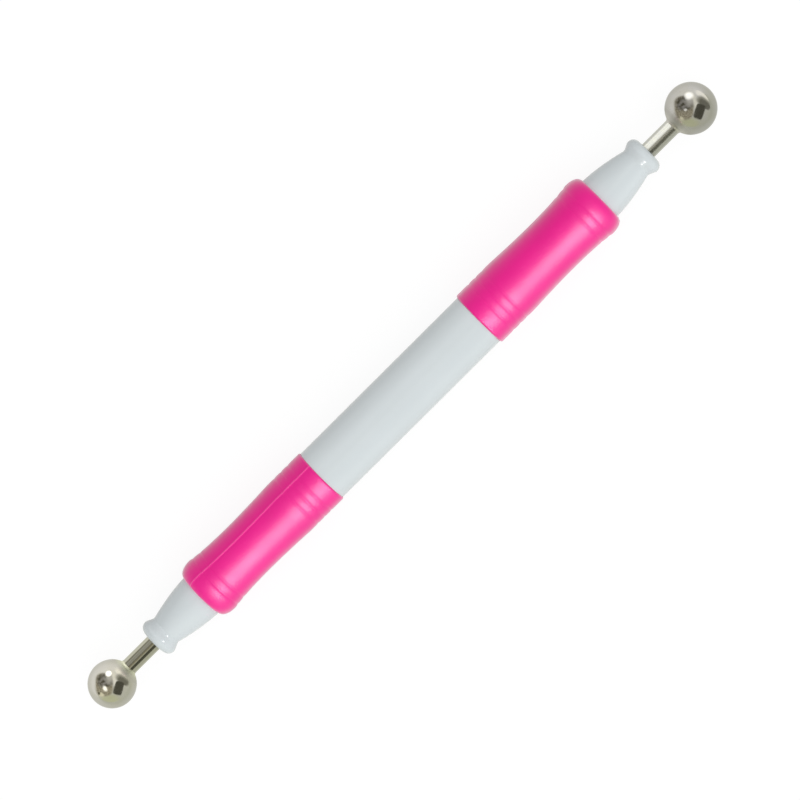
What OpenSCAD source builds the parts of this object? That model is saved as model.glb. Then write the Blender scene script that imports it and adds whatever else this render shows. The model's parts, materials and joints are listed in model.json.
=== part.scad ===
/* [Handle] */
// Diameter of the bare middle of the barrel
barrel_d = 11.0; // [10:0.1:13]
// Length of bare barrel between the two grips
barrel_bare_len = 40.2; // [20:0.1:80]
// Diameter of the step that each grip sits on, and of the nose where it leaves the grip
seat_d = 9.0; // [8:0.1:9.4]
// Length of that step at each end of the barrel
barrel_seat_len = 20.0; // [14:0.5:26]
// Bore that runs through the barrel
barrel_bore_d = 6.0; // [5:0.1:6.6]

/* [Nose cone] */
// Bare length of a nose, from the grip to the lip's end face
nose_bare_len = 12.2; // [9:0.1:20]
// Diameter at the narrowest place, behind the lip
nose_waist_d = 6.2; // [5.6:0.1:7]
// Distance from the lip's end face to that narrowest place
nose_waist_at = 3.2; // [2.8:0.1:4.5]
// Diameter of the flared lip
lip_d = 7.5; // [7:0.1:9]
// Radius that rounds the lip into its end face
lip_round = 1.6; // [0.4:0.1:1.8]
// Length of the spigot that goes into the barrel
spigot_len = 12.0; // [6:0.5:18]

/* [Grip] */
// Length of a grip
grip_len = 31.0; // [28:0.1:40]
// Diameter of the collar next to the bare barrel
collar_d = 11.5; // [11:0.1:13]
// Length of the collar
collar_len = 8.5; // [7.5:0.1:11]
// Diameter at the grip's waist
waist_d = 10.9; // [10:0.1:11]
// Distance from the grip's outer end to the waist
waist_at = 12.4; // [9:0.1:15]
// Largest diameter, where the grip flares near its outer end
flare_d = 12.0; // [11.4:0.1:14]
// Distance from the grip's outer end to the flare
flare_at = 2.7; // [2:0.1:3.2]
// Radius of the rounding on the collar's inner edge
collar_round = 0.4; // [0.1:0.05:0.6]

/* [Grip grooves] */
// Width of one groove
groove_w = 0.45; // [0.2:0.05:0.8]
// Spacing from groove to groove
groove_pitch = 1.7; // [1.2:0.1:2]
// Grooves on the collar
collar_grooves = 3; // [1:1:3]
// Distance from the collar's inner edge to its first groove
collar_groove_at = 3.2; // [2:0.1:3.6]
// Grooves on the flare
flare_grooves = 2; // [1:1:3]
// Distance from the grip's outer end to its first groove
flare_groove_at = 3.6; // [2.5:0.1:5]

/* [Steel tips] */
// Diameter of the ball at the small end
ball_small_d = 9.0; // [5:0.1:11]
// Diameter of the ball at the large end
ball_large_d = 9.6; // [5:0.1:11.5]
// Diameter of the shanks
shank_d = 3.2; // [2:0.1:3.4]
// Distance from the lip's end face to the ball's centre
tip_reach = 10.9; // [8:0.1:20]
// Length of shank that is held inside the nose
shank_hold_len = 24.0; // [12:0.5:30]
// Depth of the socket in a ball, measured back from the ball's centre to the shank's end
ball_socket_past_centre = 0.8; // [0:0.1:1.5]
// Radius of the brazed fillet between a ball and its shank
braze_round = 0.45; // [0.1:0.05:0.9]
// Width of one ring groove on the shank's held end
ring_w = 0.8; // [0.4:0.1:1]
// Depth of a ring groove
ring_depth = 0.25; // [0.1:0.05:0.4]
// Ring grooves on the shank's held end
ring_count = 4; // [1:1:5]

/* [Fits and edges] */
// Radial room between a spigot and the barrel's bore
spigot_room = 0.02; // [0:0.01:0.1]
// Radial room between a shank and the hole that holds it
shank_room = 0.01; // [0:0.01:0.05]
// Radial room between a grip and its seat
grip_room = 0.02; // [0:0.01:0.1]
// Room past a shank's end in its hole
end_room = 0.3; // [0.1:0.1:1]
// Chamfer on the spigots and on the mouths of the barrel
lead_in = 0.5; // [0.2:0.1:0.7]
// Chamfer on the held ends of the shanks
shank_chamfer = 0.3; // [0.1:0.1:0.6]

/* [Hidden] */
$fn = 128;

// Every piece is a body of revolution. Stations are distances along the axis from the middle of the barrel.
shoulder_z = barrel_bare_len / 2;
seat_end_z = shoulder_z + barrel_seat_len;
grip_end_z = shoulder_z + grip_len;
lip_z = grip_end_z + nose_bare_len;
ball_z = lip_z + tip_reach;
spigot_z = seat_end_z - spigot_len;
shank_z = lip_z - shank_hold_len;

seat_r = seat_d / 2;
lip_r = lip_d / 2;
nose_waist_r = nose_waist_d / 2;
nose_waist_z = lip_z - nose_waist_at;
spigot_r = barrel_bore_d / 2 - spigot_room;
shank_r = shank_d / 2;
shank_hole_r = shank_r + shank_room;

collar_r = collar_d / 2;
waist_r = waist_d / 2;
flare_r = flare_d / 2;
collar_z = shoulder_z + collar_len;
waist_z = grip_end_z - waist_at;
flare_z = grip_end_z - flare_at;

// Handle lengths of the curves, as shares of the run that each curve covers
lip_back_ease = 0.32;
nose_root_ease = 0.5;
nose_root_slope = 0.03;
collar_ease = 0.04;
waist_ease_to_collar = 0.5;
waist_ease_to_flare = 0.74;
flare_ease = 0.06;
end_round_ease = 0.33;

// The tool lies along X on its flares, and the origin is under the middle of its whole length.
axis_height = flare_r;
middle_x = (ball_small_d - ball_large_d) / 4;

white = "#dfe3e5";
pink = "#f93fa0";
steel = "#b9b7ab";

curve_steps = 12;
// Points of a cubic curve through the first and last of four points, pulled by the two between
function curve(p) = [
    for (i = [0 : curve_steps])
        let (t = i / curve_steps, s = 1 - t)
            s * s * s * p[0] + 3 * s * s * t * p[1] + 3 * s * t * t * p[2] + t * t * t * p[3]
];
// Points of an arc from angle a to angle b
function arc(centre, r, a, b) = [
    for (i = [0 : curve_steps])
        let (angle = a + (b - a) * i / curve_steps)
            centre + r * [cos(angle), sin(angle)]
];
// A curve that leaves one station level and reaches the next level, with its own easing at each end
function swell(r0, z0, r1, z1, ease0, ease1) = curve([
    [r0, z0],
    [r0, z0 + ease0 * (z1 - z0)],
    [r1, z1 - ease1 * (z1 - z0)],
    [r1, z1],
]);

// Turns a half outline of [radius, station] points about the tool's axis
module turned(outline) {
    rotate_extrude() polygon(outline);
}

// Lays a piece that is drawn upwards along Z on the tool's axis: side 1 is the large end, side -1 the small
module on_axis(side) {
    translate([middle_x, 0, axis_height]) rotate([0, 90 * side, 0]) children();
}

module barrel() {
    color(white) on_axis(1) turned([
        [barrel_bore_d / 2, -seat_end_z + lead_in],
        [barrel_bore_d / 2 + lead_in, -seat_end_z],
        [seat_r, -seat_end_z],
        [seat_r, -shoulder_z],
        [barrel_d / 2, -shoulder_z],
        [barrel_d / 2, shoulder_z],
        [seat_r, shoulder_z],
        [seat_r, seat_end_z],
        [barrel_bore_d / 2 + lead_in, seat_end_z],
        [barrel_bore_d / 2, seat_end_z - lead_in],
    ]);
}

// A spigot, a hidden step as wide as the barrel's own, then the bare cone with its flared lip
module nose() {
    root_pull = nose_root_ease * (nose_waist_z - grip_end_z);
    turned(concat(
        [
            [0, spigot_z],
            [spigot_r - lead_in, spigot_z],
            [spigot_r, spigot_z + lead_in],
            [spigot_r, seat_end_z],
            [seat_r, seat_end_z],
        ],
        curve([
            [seat_r, grip_end_z],
            [seat_r - nose_root_slope * root_pull, grip_end_z + root_pull],
            [nose_waist_r, nose_waist_z],
            [nose_waist_r, nose_waist_z],
        ]),
        swell(nose_waist_r, nose_waist_z, lip_r, lip_z - lip_round, lip_back_ease, lip_back_ease),
        arc([lip_r - lip_round, lip_z - lip_round], lip_round, 0, 90),
        [
            [shank_hole_r, lip_z],
            [shank_hole_r, shank_z - end_room],
            [0, shank_z - end_room],
        ]
    ));
}

module grip() {
    to_waist = swell(collar_r, collar_z, waist_r, waist_z, collar_ease, waist_ease_to_collar);
    to_flare = swell(waist_r, waist_z, flare_r, flare_z, waist_ease_to_flare, flare_ease);
    difference() {
        turned(concat(
            [[seat_r + grip_room, shoulder_z]],
            arc([collar_r - collar_round, shoulder_z + collar_round], collar_round, -90, 0),
            to_waist,
            to_flare,
            curve([
                [flare_r, flare_z],
                [flare_r, grip_end_z - flare_at / 2],
                [seat_r + end_round_ease * (flare_r - seat_r), grip_end_z],
                [seat_r + grip_room, grip_end_z],
            ])
        ));
        for (i = [0 : collar_grooves - 1])
            groove(to_waist, shoulder_z + collar_groove_at + i * groove_pitch);
        for (i = [0 : flare_grooves - 1])
            groove(to_flare, grip_end_z - flare_groove_at - i * groove_pitch);
    }
}

// One round-bottomed groove about the axis, centred on the surface that the outline gives at station z
module groove(outline, z) {
    surface_r = lookup(z, [for (p = outline) [p[1], p[0]]]);
    rotate_extrude() translate([surface_r, z]) circle(d = groove_w, $fn = 24);
}

// A straight rod with ring grooves on the end that the nose holds
module shank() {
    top_z = ball_z + ball_socket_past_centre;
    difference() {
        turned([
            [0, shank_z],
            [shank_r - shank_chamfer, shank_z],
            [shank_r, shank_z + shank_chamfer],
            [shank_r, top_z],
            [0, top_z],
        ]);
        for (i = [1 : ring_count])
            translate([0, 0, shank_z + 2 * i * ring_w]) ring();
    }
}

module ring() {
    difference() {
        cylinder(h = ring_w, r = shank_r + ring_depth);
        translate([0, 0, -ring_w]) cylinder(h = 3 * ring_w, r = shank_r - ring_depth);
    }
}

// A ball with a socket for the shank and a brazed fillet round its mouth
module ball(d) {
    r = d / 2;
    fillet_reach = r + braze_round;
    fillet_r = shank_hole_r + braze_round;
    fillet_back = sqrt(fillet_reach * fillet_reach - fillet_r * fillet_r);
    meet_angle = atan2(fillet_back, -fillet_r);
    translate([0, 0, ball_z]) difference() {
        union() {
            sphere(r);
            turned(concat(
                [[shank_r / 2, 0], [shank_r / 2, -fillet_back]],
                arc([fillet_r, -fillet_back], braze_round, 180, meet_angle)
            ));
        }
        translate([0, 0, -fillet_reach])
            cylinder(h = fillet_reach + ball_socket_past_centre + end_room, r = shank_hole_r);
    }
}

module nose_small_end() { color(white) on_axis(-1) nose(); }
module nose_large_end() { color(white) on_axis(1) nose(); }
module grip_small_end() { color(pink) on_axis(-1) grip(); }
module grip_large_end() { color(pink) on_axis(1) grip(); }
module shank_small_end() { color(steel) on_axis(-1) shank(); }
module shank_large_end() { color(steel) on_axis(1) shank(); }
module ball_small() { color(steel) on_axis(-1) ball(ball_small_d); }
module ball_large() { color(steel) on_axis(1) ball(ball_large_d); }

barrel();
nose_small_end();
nose_large_end();
grip_small_end();
grip_large_end();
shank_small_end();
shank_large_end();
ball_small();
ball_large();
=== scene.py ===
"""Embossing stylus: a white handle with two pink grips and a polished steel ball on a rod at each end.

Every piece is a surface turned about one axis. A station is a distance along that axis from the middle of the
barrel, and side is 1 towards the large ball and -1 towards the small one. Lengths are in metres.
"""
import json
import math

import bpy
import numpy as np
from bpy.props import FloatProperty, FloatVectorProperty, IntProperty, PointerProperty
from mathutils import Matrix, Vector

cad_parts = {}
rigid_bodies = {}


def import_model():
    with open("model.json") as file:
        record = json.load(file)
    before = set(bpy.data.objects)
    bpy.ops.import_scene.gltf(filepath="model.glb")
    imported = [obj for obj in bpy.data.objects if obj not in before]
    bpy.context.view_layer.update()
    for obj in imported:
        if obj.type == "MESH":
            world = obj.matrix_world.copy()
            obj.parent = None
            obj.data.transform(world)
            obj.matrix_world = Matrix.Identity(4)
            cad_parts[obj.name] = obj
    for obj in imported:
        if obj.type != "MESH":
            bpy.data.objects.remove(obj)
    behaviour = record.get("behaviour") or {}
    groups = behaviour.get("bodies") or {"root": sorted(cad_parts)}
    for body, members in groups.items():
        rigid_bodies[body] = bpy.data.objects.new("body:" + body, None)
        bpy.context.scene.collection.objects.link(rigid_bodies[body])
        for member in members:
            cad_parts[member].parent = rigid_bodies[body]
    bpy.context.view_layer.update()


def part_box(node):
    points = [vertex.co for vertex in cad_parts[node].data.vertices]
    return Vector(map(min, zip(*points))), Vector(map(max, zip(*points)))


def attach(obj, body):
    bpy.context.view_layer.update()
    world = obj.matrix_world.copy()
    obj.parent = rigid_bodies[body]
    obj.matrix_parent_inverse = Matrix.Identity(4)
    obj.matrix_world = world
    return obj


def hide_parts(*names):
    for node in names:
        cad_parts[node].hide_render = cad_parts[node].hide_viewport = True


bl_info = {
    "name": "Embossing Stylus",
    "version": (1, 0, 0),
    "blender": (4, 5, 0),
    "location": "View3D > Sidebar > Stylus",
    "description": "Builds a double-ended ball stylus with its finishes, soft lamps and a light tent",
    "category": "Add Mesh",
}

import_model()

MM = 0.001
ENDS = {"small": -1, "large": 1}
MOULD_LINE = "mould_line"
TURNED_UV = "turned"
SHARP_ANGLE = math.radians(35.0)
SENSOR_WIDTH = 36.0

# The longest step along the outline of the barrel, of other plain pieces, and of a grip's outside.
BARREL_STEP = 1.5 * MM
PLAIN_STEP = 1.0 * MM
GRIP_STEP = 0.1 * MM

# A bell curve's width at half its height, in standard deviations.
BELL_WIDTH = 2.35


def reach(node, side=1):
    """Nearest and furthest station of a node that lies on one side of the barrel's middle."""
    low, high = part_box(node)
    ends = sorted((side * (low.x - MIDDLE.x), side * (high.x - MIDDLE.x)))
    return ends[0], ends[1]


def radius_of(node):
    """Largest radius of a node, from the height of its box."""
    low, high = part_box(node)
    return (high.z - low.z) / 2


def middle_of(node):
    """Middle of a node's box."""
    low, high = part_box(node)
    return (low + high) / 2


MIDDLE = middle_of("barrel")
SEAT_END = reach("barrel")[1]
SHOULDER, GRIP_END = reach("grip_large_end")
SPIGOT_END, LIP_END = reach("nose_large_end")
SHANK_START, SHANK_END = reach("shank_large_end")
BRAZE_AT = reach("ball_small", -1)[0]


def length_setting(name, description, millimetres):
    metres = millimetres * MM
    return FloatProperty(name=name, description=description, default=metres, unit="LENGTH", precision=5)


def angle_setting(name, description, degrees):
    return FloatProperty(name=name, description=description, default=math.radians(degrees), subtype="ANGLE")


def power_setting(name, description, watts):
    return FloatProperty(name=name, description=description, default=watts, min=0.0, unit="POWER")


def colour_setting(name, description, colour):
    return FloatVectorProperty(
        name=name, description=description, default=colour, size=3, min=0.0, max=1.0, subtype="COLOR"
    )


def share_setting(name, description, share):
    return FloatProperty(
        name=name, description=description, default=share, min=0.0, max=1.0, subtype="FACTOR"
    )


class StylusSizes(bpy.types.PropertyGroup):
    """Sizes that the frame's boxes don't give."""

    bore_d: length_setting("Bore", "Bore that runs through the barrel", 6.0)
    edge_round: length_setting("Edge rounding", "Rounding of the moulded edges that show", 0.12)
    lead_in: length_setting("Lead-in", "Chamfer on the spigots and on the mouths of the barrel", 0.5)
    spigot_room: length_setting("Spigot room", "Radial room between a spigot and the bore", 0.02)
    shank_room: length_setting("Shank room", "Radial room between a shank and its hole", 0.01)
    end_room: length_setting("End room", "Room past a shank's end in its hole", 0.3)
    nose_waist_d: length_setting("Nose waist", "Diameter at the narrowest place of a nose", 6.2)
    nose_waist_at: length_setting("Nose waist at", "Distance from the lip's end face to that place", 3.2)
    lip_d: length_setting("Lip", "Diameter of the flared lip", 7.5)
    lip_round: length_setting("Lip rounding", "Radius that rounds the lip into its end face", 1.35)
    collar_d: length_setting("Collar", "Diameter of the grip's collar", 11.5)
    collar_len: length_setting("Collar length", "Length of the grip's collar", 8.5)
    collar_round: length_setting("Collar rounding", "Rounding of the collar's inner edge", 0.4)
    waist_d: length_setting("Grip waist", "Diameter at the grip's waist", 10.9)
    waist_at: length_setting("Grip waist at", "Distance from the grip's outer end to the waist", 12.4)
    flare_at: length_setting("Flare at", "Distance from the grip's outer end to the flare", 2.7)
    grip_room: length_setting("Grip room", "Radial room between a grip and its seat", 0.02)
    groove_w: length_setting("Groove width", "Width of one groove", 0.42)
    groove_depth: length_setting("Groove depth", "Depth of one groove", 0.085)
    groove_pitch: length_setting("Groove spacing", "Spacing from groove to groove", 1.7)
    collar_groove_at: length_setting("Collar grooves at", "First one, from the collar's inner edge", 3.2)
    flare_groove_at: length_setting("Flare grooves at", "First one, from the grip's outer end", 3.6)
    collar_grooves: IntProperty(name="Collar grooves", description="Grooves on the collar", default=3, min=0)
    flare_grooves: IntProperty(name="Flare grooves", description="Grooves on the flare", default=2, min=0)
    parting_h: length_setting("Parting line", "Height of the mould's parting line on a grip", 0.09)
    parting_w: length_setting("Parting line width", "Width of the mould's parting line on a grip", 0.2)
    braze_round: length_setting("Braze fillet", "Radius of the brazed fillet between ball and shank", 0.45)
    ring_w: length_setting("Ring width", "Width of one ring groove on a shank's held end", 0.8)
    ring_depth: length_setting("Ring depth", "Depth of one ring groove", 0.25)
    ring_count: IntProperty(name="Rings", description="Ring grooves on a shank's held end", default=4, min=0)
    shank_chamfer: length_setting("Shank chamfer", "Chamfer on the held end of a shank", 0.3)
    around: IntProperty(name="Around", description="Steps around a turned surface", default=224, min=24)


class StylusFinish(bpy.types.PropertyGroup):
    """Colours and gloss."""

    plastic: colour_setting("Plastic", "Cool white of the handle", (0.672, 0.727, 0.745))
    plastic_roughness: share_setting("Plastic roughness", "Roughness of the handle", 0.22)
    rubber: colour_setting("Rubber", "Hot pink of the grips", (0.94, 0.002, 0.29))
    # Painted highlight: the paler pink stands in for light caught on a mould line's ridge.
    mould_line_highlight: colour_setting("Mould line", "Paler pink on the ridge of a mould line", (1.0, 0.035, 0.35))
    rubber_roughness: share_setting("Rubber roughness", "Roughness of the grips", 0.36)
    # Both balls carry one plate: the small one's yellower tint is painted reflection, the large one's darker
    # tone painted shade.
    ball_small: colour_setting("Small ball", "Nickel plate on the small ball", (0.505, 0.495, 0.45))
    ball_large: colour_setting("Large ball", "Nickel plate on the large ball", (0.42, 0.415, 0.395))
    # Both rods carry one plate: the small end's yellower, darker tint is a painted olive reflection.
    rod_small: colour_setting("Small end's rod", "Nickel plate on the small ball's rod", (0.43, 0.43, 0.365))
    rod_large: colour_setting("Large end's rod", "Nickel plate on the large ball's rod", (0.45, 0.455, 0.435))
    # The braze is paler than the plate and also paints light: a highlight at the small root, and light
    # lifting the shade round the large root.
    braze_small: colour_setting("Small end's braze", "Brazed joint at the small ball", (0.7, 0.71, 0.56))
    braze_large: colour_setting("Large end's braze", "Brazed joint at the large ball", (0.58, 0.57, 0.53))
    ball_roughness: share_setting("Ball roughness", "Roughness of the polished balls", 0.09)
    rod_roughness_small: share_setting("Small end's rod roughness", "Roughness of the small ball's rod", 0.1)
    rod_roughness_large: share_setting("Large end's rod roughness", "Roughness of the large ball's rod", 0.27)


class StylusStudio(bpy.types.PropertyGroup):
    """Camera, floor and lamps."""

    camera_distance: length_setting("Camera distance", "From the camera to where it aims", 765.0)
    camera_lens: FloatProperty(
        name="Focal length", description="Focal length on the 36 mm sensor", default=189.59, unit="CAMERA"
    )
    camera_tilt: angle_setting("Tilt", "Lean of the view towards the small end", 3.0)
    camera_turn: angle_setting("Turn", "Angle of the handle in the picture", 44.834)
    aim_along: length_setting("Aim along", "Where the camera aims, along the handle", -0.338)
    aim_across: length_setting("Aim across", "Where the camera aims, across the handle", -0.311)
    floor_size: length_setting("Floor", "Side of the square floor", 8000.0)
    floor_drop: length_setting("Floor drop", "Room between the tool and the floor", 0.01)
    grip_lamp_power: power_setting("Grip lamps", "Power of the grips' lamp, which their fill follows", 51.0)
    handle_lamp_power: power_setting("Handle lamp", "Power of the handle's lamp", 6.6)
    rod_lamp_power: power_setting("Rod lamps", "Power at the large end, which the small end follows", 14.0)
    ball_lamp_power: power_setting("Ball lamps", "Power high on the small ball, which the others follow", 2.6)
    nose_lamp_power: power_setting("Nose lamps", "Power of each lamp for the noses", 3.8)


def cubic(points, steps=28):
    """Points on a Bezier curve: the four control points, weighted by the cubic Bernstein polynomials of t."""
    t = np.linspace(0.0, 1.0, steps)[:, None]
    a, b, c, d = (np.asarray(p, float) for p in points)
    return (1 - t) ** 3 * a + 3 * (1 - t) ** 2 * t * b + 3 * (1 - t) * t * t * c + t**3 * d


def arc(centre, radius, start, stop, steps=14):
    """Points on a circle: the centre plus the radius times the cosine and sine of an angle in degrees."""
    angle = np.radians(np.linspace(start, stop, steps))
    return np.asarray(centre) + radius * np.stack([np.cos(angle), np.sin(angle)], axis=1)


def swell(r0, z0, r1, z1, ease0, ease1, steps=28):
    """A Bezier curve that leaves one station level and reaches the next level, with an easing at each end."""
    run = z1 - z0
    return cubic([(r0, z0), (r0, z0 + ease0 * run), (r1, z1 - ease1 * run), (r1, z1)], steps)


def eased(corners, amount, steps=5, most=0.45):
    """Rounds each inner corner of a polyline by a quadratic Bezier curve.

    The corner is the curve's middle control point. The other two are an amount away from it along the two
    sides, or at most the given share of a side.
    """
    corners = [np.asarray(c, float) for c in corners]
    t = np.linspace(0.0, 1.0, steps)[:, None]
    out = [corners[0][None]]
    for before, corner, after in zip(corners, corners[1:], corners[2:]):
        towards, away = before - corner, after - corner
        a = corner + towards * min(amount / np.linalg.norm(towards), most)
        b = corner + away * min(amount / np.linalg.norm(away), most)
        out.append((1 - t) ** 2 * a + 2 * (1 - t) * t * corner + t * t * b)
    return np.concatenate(out + [corners[-1][None]])


def spaced(profile, spacing, same=1e-9):
    """The same outline with extra points on its long straight runs, at equal shares of each run.

    Points that are nearer than same count as one.
    """
    profile = np.asarray(profile, float)
    runs = np.linalg.norm(np.diff(profile, axis=0), axis=1)
    keep = np.concatenate([[True], runs > same])
    profile = profile[keep]
    runs = np.linalg.norm(np.diff(profile, axis=0), axis=1)
    along = np.concatenate([[0.0], np.cumsum(runs)])
    pieces = np.maximum(1, np.ceil(runs / spacing).astype(int))
    stops = np.concatenate([a + (b - a) * np.arange(k) / k for a, b, k in zip(along, along[1:], pieces)])
    stops = np.append(stops, along[-1])
    return np.stack([np.interp(stops, along, profile[:, i]) for i in (0, 1)], axis=1)


def even_angles(steps):
    """Angles in radians that share a full turn evenly."""
    return np.arange(steps) * (2 * math.pi / steps)


def angles_with(centres, half_width, steps, extra=9):
    """Even angles round the turn, with extra ones packed within half a width of each centre."""
    close = [(c + np.linspace(-half_width, half_width, extra)) % (2 * math.pi) for c in centres]
    return np.unique(np.round(np.concatenate([even_angles(steps)] + close), 6))


def bell(distance, width):
    """The normal curve, scaled to 1 at no distance and to a half at half the width."""
    return np.exp(-((distance * BELL_WIDTH / width) ** 2) / 2)


def turned(name, profile, side, angles, closed=False, relief=None):
    """Turns an outline of (radius, station) points about the tool's axis.

    A point at angle a lies at height radius * cos(a) over the axis and at side * radius * sin(a) across it.
    Its place along is side * station, so the far end is the near one turned by half a turn and keeps its
    normals. A relief adds a height to the radius, as a function of the station, the angle and the radius.
    Ends on the axis become one point with a fan of triangles. An outline whose area counts as positive is
    walked backwards, so that the faces point outwards.
    """
    profile = np.asarray(profile, float)
    after = np.roll(profile, -1, axis=0)
    if np.sum(profile[:, 0] * after[:, 1] - after[:, 0] * profile[:, 1]) > 0:
        profile = profile[::-1]
    steps = len(angles)
    radius = np.repeat(profile[:, :1], steps, axis=1)
    if relief is not None:
        height = relief(profile[:, 1:], angles[None, :], profile[:, :1])
        radius = np.where(radius > 0, radius + height, radius)
    along = np.broadcast_to(profile[:, 1:], radius.shape)
    grid = np.stack(
        [
            MIDDLE.x + side * along,
            MIDDLE.y + side * radius * np.sin(angles),
            MIDDLE.z + radius * np.cos(angles),
        ],
        axis=-1,
    )
    on_axis = (profile[:, 0] == 0) & (not closed)
    first = 1 if on_axis[0] else 0
    last = len(profile) - 1 if on_axis[-1] else len(profile)
    points = [grid[first:last].reshape(-1, 3)]
    rows = last - first
    ring = np.arange(rows * steps).reshape(rows, steps)
    if closed:
        ring = np.concatenate([ring, ring[:1]])
    near, far = ring[:-1], ring[1:]
    quads = np.stack([near, np.roll(near, -1, 1), np.roll(far, -1, 1), far], axis=-1).reshape(-1, 4)
    fans = []
    total = rows * steps
    if on_axis[0]:
        points.append(grid[0, :1])
        fans.append(np.stack([np.full(steps, total), np.roll(ring[0], -1), ring[0]], axis=-1))
        total += 1
    if on_axis[-1]:
        points.append(grid[-1, :1])
        fans.append(np.stack([ring[-1], np.roll(ring[-1], -1), np.full(steps, total)], axis=-1))
    piece = make_surface(name, np.concatenate(points), quads, np.concatenate(fans) if fans else None)
    add_turned_uv(piece.data)
    return piece


def make_surface(name, points, quads, triangles=None):
    """Puts whole arrays of points and faces into a new mesh object, smooth with its sharp edges marked."""
    loops, sizes = quads.ravel(), np.full(len(quads), 4)
    if triangles is not None:
        loops = np.concatenate([loops, triangles.ravel()])
        sizes = np.concatenate([sizes, np.full(len(triangles), 3)])
    mesh = bpy.data.meshes.new(name)
    mesh.vertices.add(len(points))
    mesh.vertices.foreach_set("co", points.astype(np.float32).ravel())
    mesh.loops.add(len(loops))
    mesh.loops.foreach_set("vertex_index", loops.astype(np.int32))
    mesh.polygons.add(len(sizes))
    mesh.polygons.foreach_set("loop_start", np.concatenate([[0], np.cumsum(sizes)[:-1]]).astype(np.int32))
    mesh.update(calc_edges=True)
    mesh.validate()
    mesh.polygons.foreach_set("use_smooth", np.ones(len(mesh.polygons), bool))
    mesh.set_sharp_from_angle(angle=SHARP_ANGLE)
    piece = bpy.data.objects.new(name, mesh)
    bpy.context.scene.collection.objects.link(piece)
    return piece


def add_turned_uv(mesh):
    """UV map of a turned piece: u is the place along the tool, in units of 10 mm, and v the angle in radians.

    A face that crosses the angle's seam has its small angles raised by a full turn.
    """
    points = np.zeros(len(mesh.vertices) * 3, np.float32)
    mesh.vertices.foreach_get("co", points)
    points = points.reshape(-1, 3) - np.array(MIDDLE)
    corner = np.zeros(len(mesh.loops), np.int32)
    mesh.loops.foreach_get("vertex_index", corner)
    starts = np.zeros(len(mesh.polygons), np.int32)
    mesh.polygons.foreach_get("loop_start", starts)
    angle = np.arctan2(points[:, 1], points[:, 2])[corner]
    face = np.searchsorted(starts, np.arange(len(corner)), side="right") - 1
    widest = np.maximum.reduceat(angle, starts)[face]
    angle = np.where(widest - angle > math.pi, angle + 2 * math.pi, angle)
    uv = np.stack([points[corner, 0] / (10 * MM), angle], axis=1)
    layer = mesh.uv_layers.new(name=TURNED_UV)
    layer.data.foreach_set("uv", uv.astype(np.float32).ravel())


def mark_points(piece, name, value, side):
    """Stores value(angle, radius) at each point of a turned piece, as an attribute for its material."""
    points = np.zeros(len(piece.data.vertices) * 3, np.float32)
    piece.data.vertices.foreach_get("co", points)
    across, height = (points.reshape(-1, 3) - np.array(MIDDLE))[:, 1:].T
    marks = value(np.arctan2(side * across, height), np.hypot(across, height))
    layer = piece.data.attributes.new(name, "FLOAT", "POINT")
    layer.data.foreach_set("value", marks.astype(np.float32))


def node(tree, kind, **settings):
    """A new shader node. Each setting is one of its properties, or else goes to the input of that name."""
    made = tree.nodes.new(kind)
    for key, value in settings.items():
        if key in made.bl_rna.properties:
            setattr(made, key, value)
    for key, value in settings.items():
        if key not in made.bl_rna.properties:
            plug(tree, made.inputs[key.replace("_", " ")], value)
    return made


def plug(tree, socket, value):
    """Links a socket to an output, or sets it to a number or colour."""
    if isinstance(value, bpy.types.NodeSocket):
        tree.links.new(value, socket)
    elif hasattr(value, "__len__") and len(value) == 3 and socket.type == "RGBA":
        socket.default_value = (*value, 1.0)
    else:
        socket.default_value = value


def calc(tree, operation, *values):
    """Result of a math node."""
    made = tree.nodes.new("ShaderNodeMath")
    made.operation = operation
    for socket, value in zip(made.inputs, values):
        plug(tree, socket, value)
    return made.outputs[0]


def vector_calc(tree, operation, *values):
    """Result of a vector math node."""
    made = tree.nodes.new("ShaderNodeVectorMath")
    made.operation = operation
    for socket, value in zip(made.inputs, values):
        plug(tree, socket, value)
    return made.outputs["Value" if operation in ("DOT_PRODUCT", "LENGTH") else "Vector"]


def blend_colour(tree, share, below, above):
    """The colour below where the share is 0, and the one above where it is 1."""
    made = tree.nodes.new("ShaderNodeMix")
    made.data_type = "RGBA"
    plug(tree, made.inputs["Factor"], share)
    # A mix node's colour sockets come after those for numbers and for vectors.
    plug(tree, made.inputs[6], below)
    plug(tree, made.inputs[7], above)
    return made.outputs[2]


def remap(tree, value, low, high, to_low=0.0, to_high=1.0, smooth=True):
    """A value taken from one range to another and held within it, by a smooth step or a straight line."""
    made = tree.nodes.new("ShaderNodeMapRange")
    made.interpolation_type = "SMOOTHSTEP" if smooth else "LINEAR"
    for socket, number in zip(made.inputs, (value, low, high, to_low, to_high)):
        plug(tree, socket, number)
    return made.outputs[0]


def noise(tree, coordinates, feature, detail=3.0, rough=0.5):
    """Noise with features of about the given size, in the units of its coordinates."""
    scale = 1.0 / feature
    made = node(tree, "ShaderNodeTexNoise", Vector=coordinates, Scale=scale, Detail=detail, Roughness=rough)
    return made.outputs[0]


def stretched(tree, coordinates, scale):
    """Coordinates multiplied by a scale for each axis."""
    return node(tree, "ShaderNodeMapping", Vector=coordinates, Scale=scale).outputs[0]


def material(name):
    """A new node material: its tree, its principled shader and the object's own coordinates."""
    made = bpy.data.materials.new(name)
    made.use_nodes = True
    tree = made.node_tree
    shader = tree.nodes["Principled BSDF"]
    place = node(tree, "ShaderNodeTexCoord").outputs["Object"]
    return made, tree, shader, place


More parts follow.
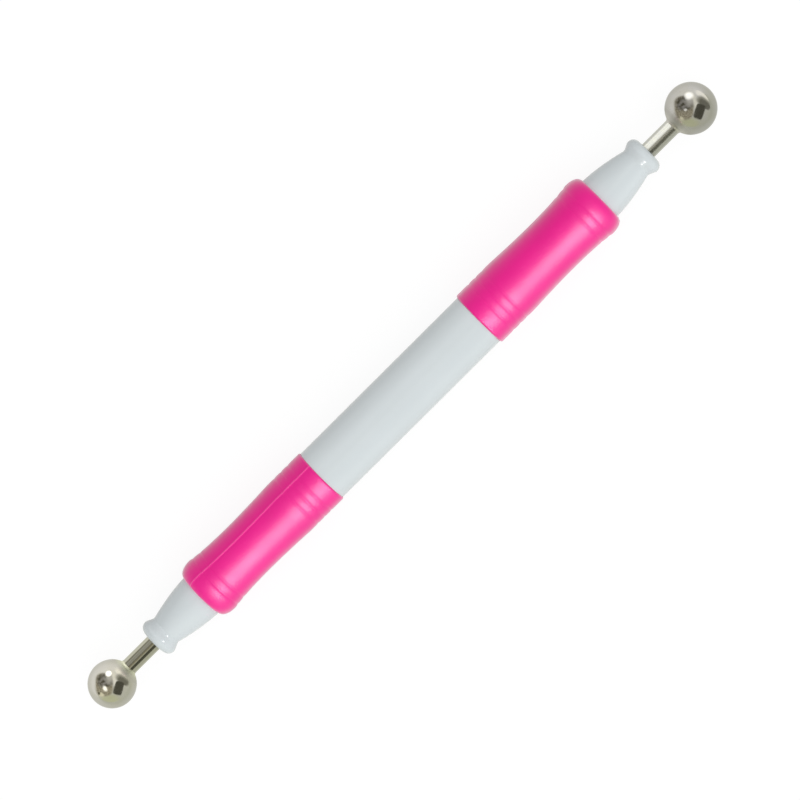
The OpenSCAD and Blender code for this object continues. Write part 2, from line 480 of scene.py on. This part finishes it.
def white_plastic(finish):
    """Moulded cool white plastic: faint cloudiness in the colour, uneven gloss and a trace of ripple."""
    made, tree, shader, place = material("white_plastic")
    cloud = noise(tree, place, 9 * MM)
    deeper = [c * 0.985 for c in finish.plastic]
    colour = blend_colour(tree, remap(tree, cloud, 0.3, 0.7), deeper, finish.plastic)
    plug(tree, shader.inputs["Base Color"], colour)
    uneven = noise(tree, place, 2.0 * MM, detail=4.0)
    rough = finish.plastic_roughness
    plug(tree, shader.inputs["Roughness"], remap(tree, uneven, 0.25, 0.75, rough * 0.9, rough * 1.15))
    ripple = noise(tree, place, 3.0 * MM, detail=2.0)
    bump = node(tree, "ShaderNodeBump", Height=ripple, Strength=0.2, Distance=0.012 * MM)
    plug(tree, shader.inputs["Normal"], bump.outputs[0])
    shader.inputs["IOR"].default_value = 1.49
    return made


def pink_rubber(finish):
    """Moulded soft rubber: fine grain, slow colour drift, satin gloss, and a painted highlight of paler pink
    on the mould lines.
    """
    made, tree, shader, place = material("pink_rubber")
    drift = noise(tree, place, 7 * MM)
    deeper = [c * 0.95 for c in finish.rubber]
    colour = blend_colour(tree, remap(tree, drift, 0.3, 0.7), deeper, finish.rubber)
    # Painted highlight: the mould lines' ridges are painted a paler pink.
    line = node(tree, "ShaderNodeAttribute", attribute_name=MOULD_LINE).outputs["Fac"]
    plug(tree, shader.inputs["Base Color"], blend_colour(tree, line, colour, finish.mould_line_highlight))
    patchy = noise(tree, place, 1.5 * MM, detail=4.0)
    rough = finish.rubber_roughness
    plug(tree, shader.inputs["Roughness"], remap(tree, patchy, 0.25, 0.75, rough * 0.9, rough * 1.12))
    grain = noise(tree, place, 0.16 * MM, detail=2.0)
    wave = noise(tree, place, 2.4 * MM, detail=1.0)
    fine = node(tree, "ShaderNodeBump", Height=grain, Strength=0.35, Distance=0.008 * MM).outputs[0]
    broad = node(tree, "ShaderNodeBump", Height=wave, Strength=0.3, Distance=0.03 * MM, Normal=fine)
    plug(tree, shader.inputs["Normal"], broad.outputs[0])
    shader.inputs["IOR"].default_value = 1.5
    shader.inputs["Specular IOR Level"].default_value = 0.2
    shader.inputs["Sheen Weight"].default_value = 1.0
    shader.inputs["Sheen Roughness"].default_value = 0.43
    return made


def brazed(tree, place, fade):
    """1 at the brazed joints, and 0 where the station is past the fade from them."""
    along = node(tree, "ShaderNodeSeparateXYZ", Vector=vector_calc(tree, "SUBTRACT", place, tuple(MIDDLE)))
    station = calc(tree, "ABSOLUTE", along.outputs[0])
    return remap(tree, station, BRAZE_AT + 0.1 * MM, BRAZE_AT + fade, 1.0, 0.0)


def plated(tree, plate, share, yellowing):
    """The nickel plate's colour, yellowed by a little less green and less blue where share is 0."""
    yellowed = (plate[0] * 0.97, plate[1] * 0.965, plate[2] * yellowing)
    return blend_colour(tree, share, yellowed, plate)


def polished_steel(finish, end):
    """Nickel-plated steel, mirror polished: clouded plate, wipe marks, slow ripple, dull brazed root."""
    made, tree, shader, place = material(f"polished_steel_{end}_end")
    shader.inputs["Metallic"].default_value = 1.0
    shader.inputs["Specular Tint"].default_value = (0.8, 0.8, 0.8, 1.0)
    # Each end's plate and braze colours hold painted reflection, shade and highlight.
    colour = getattr(finish, f"ball_{end}")
    braze = getattr(finish, f"braze_{end}")
    plate = plated(tree, colour, remap(tree, noise(tree, place, 2.5 * MM), 0.35, 0.65), 0.92)
    wiped = noise(tree, stretched(tree, place, (1.0, 6.0, 2.0)), 1.6 * MM, detail=6.0, rough=0.65)
    rough = finish.ball_roughness
    polish = remap(tree, wiped, 0.3, 0.75, rough * 0.5, rough * 2.2)
    # Painted highlight: the brazed root takes the paler braze colour.
    plug(tree, shader.inputs["Base Color"], blend_colour(tree, brazed(tree, place, 1.2 * MM), plate, braze))
    dulled = remap(tree, brazed(tree, place, 2.5 * MM), 0.0, 1.0, polish, 0.55)
    plug(tree, shader.inputs["Roughness"], dulled)
    ripple = noise(tree, place, 1.8 * MM, detail=2.0)
    bump = node(tree, "ShaderNodeBump", Height=ripple, Strength=0.2, Distance=0.02 * MM)
    plug(tree, shader.inputs["Normal"], bump.outputs[0])
    return made


def turned_steel(finish, end):
    """Nickel-plated rod, ground round and round, so that its shine spreads along the rod."""
    made, tree, shader, place = material(f"turned_steel_{end}_end")
    shader.inputs["Metallic"].default_value = 1.0
    streak = noise(tree, stretched(tree, place, (8.0, 1.0, 1.0)), 1.5 * MM, detail=4.0)
    # The small end's rod colour holds a painted olive reflection.
    plate = plated(tree, getattr(finish, f"rod_{end}"), remap(tree, streak, 0.35, 0.7), 0.9)
    plug(tree, shader.inputs["Base Color"], plate)
    rough = getattr(finish, f"rod_roughness_{end}")
    plug(tree, shader.inputs["Roughness"], remap(tree, streak, 0.3, 0.7, rough * 0.9, rough * 1.12))
    shader.inputs["Anisotropic"].default_value = 0.6 if end == "small" else 0.95
    tangent = node(tree, "ShaderNodeTangent", direction_type="UV_MAP", uv_map=TURNED_UV)
    plug(tree, shader.inputs["Tangent"], tangent.outputs[0])
    return made


def finish_piece(piece, made, node_name):
    """Gives a piece its material, puts it on the frame and lets it stand for its node."""
    piece.data.materials.append(made)
    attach(piece, "root")
    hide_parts(node_name)


class STYLUS_OT_barrel(bpy.types.Operator):
    """White tube with a stepped-down seat at each end"""

    bl_idname = "stylus.barrel"
    bl_label = "Barrel"

    def execute(self, context):
        sizes = context.scene.stylus_sizes
        bore_r = sizes.bore_d / 2
        seat_r = radius_of("nose_large_end")
        half = [
            (bore_r, SEAT_END - sizes.lead_in),
            (bore_r + sizes.lead_in, SEAT_END),
            (seat_r, SEAT_END),
            (seat_r, SHOULDER),
            (radius_of("barrel"), SHOULDER),
        ]
        other = [(r, -z) for r, z in reversed(half)]
        loop = half + other
        outline = eased([loop[-1]] + loop + [loop[0]], sizes.edge_round)
        outline = spaced(outline[1:-1], BARREL_STEP)
        piece = turned("barrel_shell", outline, 1, even_angles(sizes.around), closed=True)
        finish_piece(piece, white_plastic(context.scene.stylus_finish), "barrel")
        return {"FINISHED"}


class STYLUS_OT_noses(bpy.types.Operator):
    """White nose cone with a flared lip, and its spigot inside the barrel, at each end"""

    bl_idname = "stylus.noses"
    bl_label = "Nose Cones"

    root_ease: share_setting("Root easing", "Length of the curve's pull at the root", 0.5)
    root_slope: share_setting("Root slope", "Slope of the cone where it leaves the grip", 0.03)
    lip_ease: share_setting("Lip easing", "Easing of the lip's back", 0.32)

    def execute(self, context):
        sizes = context.scene.stylus_sizes
        seat_r = radius_of("nose_large_end")
        waist_r, lip_r = sizes.nose_waist_d / 2, sizes.lip_d / 2
        spigot_r = sizes.bore_d / 2 - sizes.spigot_room
        hole_r = radius_of("shank_large_end") + sizes.shank_room
        waist = LIP_END - sizes.nose_waist_at
        pull = self.root_ease * (waist - GRIP_END)
        hole_end = SHANK_START - sizes.end_room
        spigot = [
            (0.0, SPIGOT_END),
            (spigot_r - sizes.lead_in, SPIGOT_END),
            (spigot_r, SPIGOT_END + sizes.lead_in),
            (spigot_r, SEAT_END),
            (seat_r, SEAT_END),
            (seat_r, GRIP_END),
        ]
        bend = (seat_r - self.root_slope * pull, GRIP_END + pull)
        cone = cubic([(seat_r, GRIP_END), bend, (waist_r, waist), (waist_r, waist)])
        back = swell(waist_r, waist, lip_r, LIP_END - sizes.lip_round, self.lip_ease, self.lip_ease)
        front = arc((lip_r - sizes.lip_round, LIP_END - sizes.lip_round), sizes.lip_round, 0, 90)
        hole = eased([front[-1], (hole_r, LIP_END), (hole_r, hole_end), (0.0, hole_end)], sizes.edge_round)
        outline = np.concatenate([eased(spigot, sizes.edge_round), cone, back, front, hole])
        outline = spaced(outline, PLAIN_STEP)
        plastic = white_plastic(context.scene.stylus_finish)
        for end, side in ENDS.items():
            piece = turned(f"nose_cone_{end}_end", outline, side, even_angles(sizes.around))
            finish_piece(piece, plastic, f"nose_{end}_end")
        return {"FINISHED"}


class STYLUS_OT_grips(bpy.types.Operator):
    """Pink sleeve with a collar, a waist, a flare, ring grooves and two mould lines, at each end"""

    bl_idname = "stylus.grips"
    bl_label = "Grips"

    collar_ease: share_setting("Collar easing", "Easing where the collar turns to the waist", 0.04)
    waist_ease_in: share_setting("Waist easing, inner", "Easing of the waist towards the collar", 0.5)
    waist_ease_out: share_setting("Waist easing, outer", "Easing of the waist towards the flare", 0.74)
    flare_ease: share_setting("Flare easing", "Easing of the flare", 0.06)
    end_ease: share_setting("End easing", "Where the flare starts to turn in, a share of its distance", 0.37)
    end_round_ease: share_setting("End rounding", "Fullness of the rounded outer end", 0.53)
    parting_small: angle_setting("Parting, small end", "Angle of one mould line from the grip's top", 28.7)
    parting_large: angle_setting("Parting, large end", "Angle of one mould line from the grip's top", 90.0)

    def outline(self, sizes):
        """Outline of a grip's section: collar, waist, flare and rounded end, and then back along the bore."""
        seat_r = radius_of("nose_large_end") + sizes.grip_room
        collar_r, waist_r = sizes.collar_d / 2, sizes.waist_d / 2
        flare_r = radius_of("grip_large_end")
        collar = SHOULDER + sizes.collar_len
        waist, flare = GRIP_END - sizes.waist_at, GRIP_END - sizes.flare_at
        end_r = seat_r + self.end_round_ease * (flare_r - seat_r)
        edge = arc((collar_r - sizes.collar_round, SHOULDER + sizes.collar_round), sizes.collar_round, -90, 0)
        turn_in = GRIP_END - self.end_ease * sizes.flare_at
        end = cubic([(flare_r, flare), (flare_r, turn_in), (end_r, GRIP_END), (seat_r, GRIP_END)])
        return np.concatenate(
            [
                [(seat_r, SHOULDER)],
                edge,
                swell(collar_r, collar, waist_r, waist, self.collar_ease, self.waist_ease_in),
                swell(waist_r, waist, flare_r, flare, self.waist_ease_out, self.flare_ease),
                end,
                [(seat_r, SHOULDER)],
            ]
        )

    def execute(self, context):
        sizes = context.scene.stylus_sizes
        outline = self.outline(sizes)
        outside, bore = spaced(outline[:-1], GRIP_STEP), spaced(outline[-2:], PLAIN_STEP)
        outline = np.concatenate([outside, bore[1:-1]])
        outer_r = (radius_of("nose_large_end") + sizes.collar_d / 2) / 2
        pitch = sizes.groove_pitch
        grooves = [SHOULDER + sizes.collar_groove_at + i * pitch for i in range(sizes.collar_grooves)]
        grooves += [GRIP_END - sizes.flare_groove_at - i * pitch for i in range(sizes.flare_grooves)]
        rubber = pink_rubber(context.scene.stylus_finish)
        for end, side in ENDS.items():
            first = side * getattr(self, f"parting_{end}")
            partings = np.array([first, first + math.pi]) % (2 * math.pi)

            def ridge(angle, radius):
                """Outside only: a bell curve of the distance round the grip from the nearest mould line."""
                off = [(angle - parting + math.pi) % (2 * math.pi) - math.pi for parting in partings]
                bells = sum(bell(o * radius, sizes.parting_w) for o in off)
                return np.where(radius > outer_r, bells, 0.0)

            def relief(station, angle, radius):
                """Outside only: each mould line is a bell-shaped ridge, and each groove a bell-shaped dip."""
                dips = sum(bell(station - place, sizes.groove_w) for place in grooves)
                dips = np.where(radius > outer_r, dips, 0.0)
                return sizes.parting_h * ridge(angle, radius) - sizes.groove_depth * dips

            # The steps are finest within 1.1 widths of a mould line.
            fine = 1.1 * sizes.parting_w / (sizes.waist_d / 2)
            angles = angles_with(partings, fine, sizes.around)
            piece = turned(f"grip_sleeve_{end}_end", outline, side, angles, closed=True, relief=relief)
            # The ridge's bells also mark where the rubber's colour paints its highlight.
            mark_points(piece, MOULD_LINE, ridge, side)
            finish_piece(piece, rubber, f"grip_{end}_end")
        return {"FINISHED"}


class STYLUS_OT_shanks(bpy.types.Operator):
    """Straight steel rod with ring grooves on its held end, at each end"""

    bl_idname = "stylus.shanks"
    bl_label = "Shanks"

    def execute(self, context):
        sizes = context.scene.stylus_sizes
        shank_r = radius_of("shank_large_end")
        low_r = shank_r - sizes.ring_depth
        corners = [(0.0, SHANK_START), (shank_r - sizes.shank_chamfer, SHANK_START)]
        corners += [(shank_r, SHANK_START + sizes.shank_chamfer)]
        for i in range(1, sizes.ring_count + 1):
            start = SHANK_START + 2 * i * sizes.ring_w
            stop = start + sizes.ring_w
            corners += [(shank_r, start), (low_r, start), (low_r, stop), (shank_r, stop)]
        corners += [(shank_r, SHANK_END), (0.0, SHANK_END)]
        outline = spaced(eased(corners, sizes.edge_round / 2), PLAIN_STEP)
        for end, side in ENDS.items():
            steel = turned_steel(context.scene.stylus_finish, end)
            piece = turned(f"steel_rod_{end}_end", outline, side, even_angles(sizes.around // 2))
            finish_piece(piece, steel, f"shank_{end}_end")
        return {"FINISHED"}


class STYLUS_OT_balls(bpy.types.Operator):
    """Polished steel ball with a socket for the shank and a brazed fillet round it, at each end"""

    bl_idname = "stylus.balls"
    bl_label = "Balls"

    def execute(self, context):
        sizes = context.scene.stylus_sizes
        hole_r = radius_of("shank_large_end") + sizes.shank_room
        for end, side in ENDS.items():
            steel = polished_steel(context.scene.stylus_finish, end)
            ball_r = radius_of(f"ball_{end}")
            centre = reach(f"ball_{end}", side)[1] - ball_r
            fillet_r = hole_r + sizes.braze_round
            fillet_back = math.sqrt((ball_r + sizes.braze_round) ** 2 - fillet_r**2)
            meet = math.degrees(math.atan2(fillet_back, -fillet_r))
            hole_end = SHANK_END + sizes.end_room
            hole = [(0.0, hole_end), (hole_r, hole_end), (hole_r, centre - fillet_back)]
            fillet = arc((fillet_r, centre - fillet_back), sizes.braze_round, 180, meet)
            sphere = arc((0.0, centre), ball_r, meet - 180, 90, steps=110)
            sphere[-1, 0] = 0.0
            outline = np.concatenate([spaced(hole, PLAIN_STEP), fillet[1:], sphere[1:]])
            piece = turned(f"steel_ball_{end}_end", outline, side, even_angles(sizes.around))
            finish_piece(piece, steel, f"ball_{end}")
        return {"FINISHED"}


def leaned_axes(studio):
    """The directions along and across the tool, both square to the leaned view."""
    tilt = studio.camera_tilt
    return Vector((math.cos(tilt), 0.0, -math.sin(tilt))), Vector((0.0, 1.0, 0.0))


def picture_axes(studio):
    """The picture's right and up directions, in the tool's frame."""
    turn = studio.camera_turn
    along, across = leaned_axes(studio)
    right = math.cos(turn) * along - math.sin(turn) * across
    up = math.sin(turn) * along + math.cos(turn) * across
    return right, up


def patch(tree, chart, centre, half_size, turn, edge, power):
    """1 inside a rounded box of the light chart, and 0 outside.

    The edge is where the p-norm of the box's own scaled and turned coordinates is 1, with p as the power.
    """
    local = node(
        tree,
        "ShaderNodeMapping",
        vector_type="TEXTURE",
        Vector=chart,
        Location=(*centre, 0.0),
        Rotation=(0.0, 0.0, math.radians(turn)),
        Scale=(*half_size, 1.0),
    ).outputs[0]
    split = node(tree, "ShaderNodeSeparateXYZ", Vector=local)
    powers = [calc(tree, "POWER", calc(tree, "ABSOLUTE", split.outputs[i]), power) for i in (0, 1)]
    norm = calc(tree, "POWER", calc(tree, "ADD", *powers), 1.0 / power)
    return remap(tree, norm, 1.0 - edge, 1.0 + edge, 1.0, 0.0)


def seen_at(spot, right, up):
    """Direction that a polished ball shows at a spot of its picture, in radii right and up of its middle.

    It is the vertical mirrored in the ball's surface there: twice its part along the normal, less itself.
    """
    level = spot[0] * right + spot[1] * up
    normal = level + Vector((0.0, 0.0, 1.0)) * math.sqrt(1.0 - level.length_squared)
    return 2.0 * normal.z * normal - Vector((0.0, 0.0, 1.0))


def light_chart(tree, right, up):
    """Flat map of the directions overhead, as a polished ball shows them from above.

    A direction's place is its part along the picture's right and up, over the root of 2 + 2 * height.
    """
    direction = node(tree, "ShaderNodeTexCoord").outputs["Generated"]
    height = node(tree, "ShaderNodeSeparateXYZ", Vector=direction).outputs[2]
    spread = calc(tree, "SQRT", calc(tree, "MAXIMUM", calc(tree, "MULTIPLY_ADD", height, 2.0, 2.0), 0.01))
    parts = [vector_calc(tree, "DOT_PRODUCT", direction, axis) for axis in (right, up)]
    places = [calc(tree, "DIVIDE", part, spread) for part in parts]
    return node(tree, "ShaderNodeCombineXYZ", X=places[0], Y=places[1]).outputs[0]


# How far each lamp is from where it aims, and where the wide lamps aim along the tool.
LAMP_AWAY = 0.8
WIDE_LAMP_AIM = -0.06

# Name, lean about the tool's axis in degrees, size, setting of the power, share of it, and pieces reached.
WIDE_LAMPS = (
    ("grip_lamp", 37.0, (1.2, 0.62), "grip_lamp_power", 1.0, "grip_sleeve"),
    ("grip_fill_lamp", 37.0, (3.0, 2.2), "grip_lamp_power", 1.3, "grip_sleeve"),
    ("handle_lamp", -45.0, (2.0, 0.92), "handle_lamp_power", 1.0, ("barrel_shell", "nose_cone")),
    ("rod_lamp_large_end", -48.0, (2.0, 1.05), "rod_lamp_power", 1.0, "steel_rod_large"),
    ("rod_lamp_small_end", -49.0, (2.0, 0.45), "rod_lamp_power", 0.07, "steel_rod_small"),
)

# Name, spot of the ball's picture where it shows, size, share of the power, and ball reached.
BALL_LAMPS = (
    ("high_lamp_small_end", (-0.15, 0.42), (0.52, 0.48), 1.0, "steel_ball_small"),
    ("high_lamp_large_end", (-0.05, 0.46), (0.66, 0.6), 0.8, "steel_ball_large"),
    ("low_lamp_small_end", (-0.27, -0.18), (0.38, 0.5), 0.45, "steel_ball_small"),
    ("low_lamp_large_end", (-0.2, -0.04), (0.3, 0.24), 0.1, "steel_ball_large"),
)

# Direction of the lamp that puts a bright speck on each nose.
NOSE_LAMPS = {"small": (0.37, -0.52, 0.73), "large": (-0.62, -0.44, 0.57)}
NOSE_LAMP_SIZE = (0.15, 0.15)


class STYLUS_OT_studio(bpy.types.Operator):
    """Pale floor, light tent, soft lamps that only add shine, and the camera"""

    bl_idname = "stylus.studio"
    bl_label = "Studio"

    def execute(self, context):
        studio = context.scene.stylus_studio
        self.make_world(context, studio)
        self.make_floor(studio)
        self.make_lamps(context, studio)
        self.make_camera(context, studio)
        context.scene.view_settings.view_transform = "Standard"
        return {"FINISHED"}

    def make_world(self, context, studio):
        """Shine sees the light tent, the camera sees plain white, and all other light is a plain gradient.

        The gradient runs across the tool and is brightest towards negative Y.
        """
        world = bpy.data.worlds.new("light_tent")
        context.scene.world = world
        world.use_nodes = True
        tree = world.node_tree
        tree.nodes.clear()
        chart = light_chart(tree, *picture_axes(studio))
        direction = node(tree, "ShaderNodeTexCoord").outputs["Generated"]
        across = node(tree, "ShaderNodeSeparateXYZ", Vector=direction).outputs[1]
        brightest, dimmest = 1.42, 0.5
        gradient = remap(tree, across, -1.0, 1.0, brightest, dimmest, smooth=False)
        path = node(tree, "ShaderNodeLightPath")
        light = blend_colour(tree, path.outputs["Is Glossy Ray"], gradient, self.tent(tree, chart))
        lit = node(tree, "ShaderNodeBackground", Color=light)
        plain = node(tree, "ShaderNodeBackground", Color=(1.0, 1.0, 1.0))
        mixed = node(tree, "ShaderNodeMixShader")
        shown = (path.outputs["Is Camera Ray"], lit.outputs[0], plain.outputs[0])
        for socket, value in zip(mixed.inputs, shown):
            plug(tree, socket, value)
        plug(tree, node(tree, "ShaderNodeOutputWorld").inputs["Surface"], mixed.outputs[0])

    def tent(self, tree, chart):
        """What shine sees: pale walls, and over them, in turn, soft patches of the tent's chart.

        A patch has its centre and half size on the chart, its turn in degrees, the softness of its edge, its
        squareness and its colour.
        """
        speckle = remap(tree, noise(tree, chart, 0.045, detail=4.0), 0.42, 0.6)
        blotch = remap(tree, noise(tree, chart, 0.13, detail=2.0), 0.4, 0.62)
        speckled = blend_colour(tree, speckle, (0.36, 0.32, 0.23), (0.74, 0.68, 0.53))
        blotched = blend_colour(tree, blotch, (0.13, 0.12, 0.085), (0.44, 0.42, 0.4))
        layers = {
            "olive patch": ((-0.09, -0.6), (0.36, 0.2), 0.0, 0.5, 2.0, (0.84, 0.86, 0.6)),
            "low side": ((-0.29, -0.01), (0.34, 0.45), 4.0, 0.12, 3.0, speckled),
            "high side": ((-0.27, 0.16), (0.32, 0.27), 6.0, 0.3, 2.6, blotched),
            "haze": ((-0.08, 0.3), (0.15, 0.22), 0.0, 0.7, 2.0, (0.85, 0.83, 0.8)),
            "bright band": ((0.13, 0.2), (0.07, 0.33), 14.0, 0.5, 2.5, (1.35, 1.32, 1.22)),
            "bright bar": ((0.45, 0.43), (0.34, 0.12), -38.0, 0.3, 3.0, (1.75, 1.7, 1.6)),
            "wedge's edge": ((0.46, 0.2), (0.29, 0.16), -36.0, 0.3, 3.0, (0.5, 0.49, 0.42)),
            "dark wedge": ((0.49, 0.13), (0.25, 0.12), -38.0, 0.2, 3.0, (0.27, 0.265, 0.22)),
            "dark window": ((0.29, -0.15), (0.18, 0.28), -17.0, 0.08, 5.0, (0.12, 0.117, 0.09)),
            "pale spot": ((-0.41, -0.4), (0.12, 0.07), -25.0, 0.4, 2.0, (1.2, 1.14, 0.88)),
            "dark spot": ((-0.49, -0.36), (0.045, 0.055), 0.0, 0.4, 2.0, (0.1, 0.1, 0.06)),
        }
        lean = vector_calc(tree, "DOT_PRODUCT", chart, (-0.5, 0.87, 0.0))
        colour = blend_colour(tree, remap(tree, lean, -0.7, 0.7), (0.84, 0.84, 0.76), (1.3, 1.28, 1.25))
        for *shape, above in layers.values():
            colour = blend_colour(tree, patch(tree, chart, *shape), colour, above)
        return colour

    def make_floor(self, studio):
        """White table that keeps the shadow. The camera and all shine see it lifted to white.

        In shine its glow is painted light, dimming over a few centimetres across the tool away from the
        tent's lit side.
        """
        half, low = studio.floor_size / 2, -studio.floor_drop
        corners = np.array([(-half, -half, low), (half, -half, low), (half, half, low), (-half, half, low)])
        floor = make_surface("floor", corners, np.array([[0, 1, 2, 3]]))
        made = bpy.data.materials.new("table_white")
        made.use_nodes = True
        tree = made.node_tree
        tree.nodes.clear()
        path = node(tree, "ShaderNodeLightPath")
        mirrored = path.outputs["Is Glossy Ray"]
        lifted = calc(tree, "MAXIMUM", path.outputs["Is Camera Ray"], mirrored)
        lifted = calc(tree, "MAXIMUM", lifted, path.outputs["Is Transmission Ray"])
        place = node(tree, "ShaderNodeTexCoord").outputs["Object"]
        across = node(tree, "ShaderNodeSeparateXYZ", Vector=place).outputs[1]
        # Painted light and shade, seen only in shine: the table's glow grades across the tool.
        fade = 40 * MM
        dim_side, lit_side = (0.76, 0.77, 0.66), (1.26, 1.24, 1.22)
        painted_shine_grade = blend_colour(tree, remap(tree, across, -fade, fade), dim_side, lit_side)
        seen = blend_colour(tree, mirrored, (1.0, 1.0, 1.0), painted_shine_grade)
        table_grey, lifted_grey, lift = (0.35, 0.35, 0.35), (0.15, 0.15, 0.15), 0.88
        paint = node(tree, "ShaderNodeBsdfDiffuse", Color=blend_colour(tree, lifted, table_grey, lifted_grey))
        glow = node(tree, "ShaderNodeEmission", Color=seen, Strength=calc(tree, "MULTIPLY", lifted, lift))
        both = node(tree, "ShaderNodeAddShader")
        plug(tree, both.inputs[0], paint.outputs[0])
        plug(tree, both.inputs[1], glow.outputs[0])
        plug(tree, node(tree, "ShaderNodeOutputMaterial").inputs["Surface"], both.outputs[0])
        floor.data.materials.append(made)

    def make_lamps(self, context, studio):
        """The lamps of the tables above. A lean turns a wide lamp from overhead about the tool's axis."""
        for name, lean, size, setting, share, pieces in WIDE_LAMPS:
            lean = math.radians(lean)
            direction = Vector((0.0, -math.sin(lean), math.cos(lean)))
            power = getattr(studio, setting) * share
            self.make_lamp(context, name, direction, size, power, pieces, aim=(WIDE_LAMP_AIM, 0.0, 0.0))
        right, up = picture_axes(studio)
        for name, spot, size, share, pieces in BALL_LAMPS:
            power = studio.ball_lamp_power * share
            self.make_lamp(context, name, seen_at(spot, right, up), size, power, pieces)
        for end, direction in NOSE_LAMPS.items():
            name, pieces = f"nose_lamp_{end}_end", f"nose_cone_{end}"
            power = studio.nose_lamp_power
            self.make_lamp(context, name, Vector(direction), NOSE_LAMP_SIZE, power, pieces)

    def make_lamp(self, context, name, direction, size, power, pieces, aim=(0.0, 0.0, 0.0)):
        """Soft lamp that only adds shine, and only to the pieces whose names start as given.

        It faces its aim from the given direction. Its size is its width in the upright plane of that
        direction, and its level length. Those of a wide lamp lie across and along the tool.
        """
        place = direction * LAMP_AWAY
        lamp = bpy.data.lights.new(name, "AREA")
        lamp.shape = "RECTANGLE"
        lamp.size, lamp.size_y = size
        lamp.energy = power
        lamp.use_nodes = True
        self.soften(lamp.node_tree)
        made = bpy.data.objects.new(name, lamp)
        facing = place.to_track_quat("Z", "X").to_matrix().to_4x4()
        made.matrix_world = Matrix.Translation(Vector(aim) + place) @ facing
        context.scene.collection.objects.link(made)
        made.visible_diffuse = False
        reached = bpy.data.collections.new(f"{name}_reaches")
        for piece in context.scene.objects:
            if piece.name.startswith(pieces):
                reached.objects.link(piece)
        made.light_linking.receiver_collection = reached

    def soften(self, tree, full=0.3):
        """Lets a lamp fade to its rim, as a smooth step of the distance from its middle in half widths."""
        tree.nodes.clear()
        place = node(tree, "ShaderNodeNewGeometry").outputs["Parametric"]
        centred = vector_calc(tree, "SUBTRACT", place, (0.5, 0.5, 0.0))
        off = calc(tree, "MULTIPLY", vector_calc(tree, "LENGTH", centred), 2.0)
        glow = node(tree, "ShaderNodeEmission", Strength=remap(tree, off, full, 1.0, 1.0, 0.0))
        plug(tree, node(tree, "ShaderNodeOutputLight").inputs["Surface"], glow.outputs[0])

    def make_camera(self, context, studio):
        """Camera that looks down on the tool, leaned and turned as in the photograph."""
        along, across = leaned_axes(studio)
        right, up = picture_axes(studio)
        backward = along.cross(across)
        aim = MIDDLE + along * studio.aim_along + across * studio.aim_across
        data = bpy.data.cameras.new("camera")
        data.sensor_width = SENSOR_WIDTH
        data.lens = studio.camera_lens
        data.clip_start, data.clip_end = 0.01, 100.0
        camera = bpy.data.objects.new("camera", data)
        turned_to = Matrix((right, up, backward)).transposed().to_4x4()
        camera.matrix_world = Matrix.Translation(aim + backward * studio.camera_distance) @ turned_to
        context.scene.collection.objects.link(camera)
        context.scene.camera = camera


class STYLUS_PT_panel(bpy.types.Panel):
    """Lists the steps in the order in which they are made"""

    bl_idname = "STYLUS_PT_panel"
    bl_label = "Embossing Stylus"
    bl_space_type = "VIEW_3D"
    bl_region_type = "UI"
    bl_category = "Stylus"

    def draw(self, context):
        for step in STEPS:
            self.layout.operator(step.bl_idname)
        for group in (context.scene.stylus_sizes, context.scene.stylus_finish, context.scene.stylus_studio):
            box = self.layout.box()
            for name in group.__annotations__:
                box.prop(group, name)


STEPS = (
    STYLUS_OT_barrel,
    STYLUS_OT_noses,
    STYLUS_OT_grips,
    STYLUS_OT_shanks,
    STYLUS_OT_balls,
    STYLUS_OT_studio,
)
GROUPS = {"stylus_sizes": StylusSizes, "stylus_finish": StylusFinish, "stylus_studio": StylusStudio}


def register():
    for group in GROUPS.values():
        bpy.utils.register_class(group)
    for name, group in GROUPS.items():
        setattr(bpy.types.Scene, name, PointerProperty(type=group))
    for step in STEPS + (STYLUS_PT_panel,):
        bpy.utils.register_class(step)


def unregister():
    for step in reversed(STEPS + (STYLUS_PT_panel,)):
        bpy.utils.unregister_class(step)
    for name, group in reversed(GROUPS.items()):
        delattr(bpy.types.Scene, name)
        bpy.utils.unregister_class(group)


def main():
    register()
    bpy.ops.stylus.barrel()
    bpy.ops.stylus.noses()
    bpy.ops.stylus.grips()
    bpy.ops.stylus.shanks()
    bpy.ops.stylus.balls()
    bpy.ops.stylus.studio()


if __name__ == "__main__":
    main()
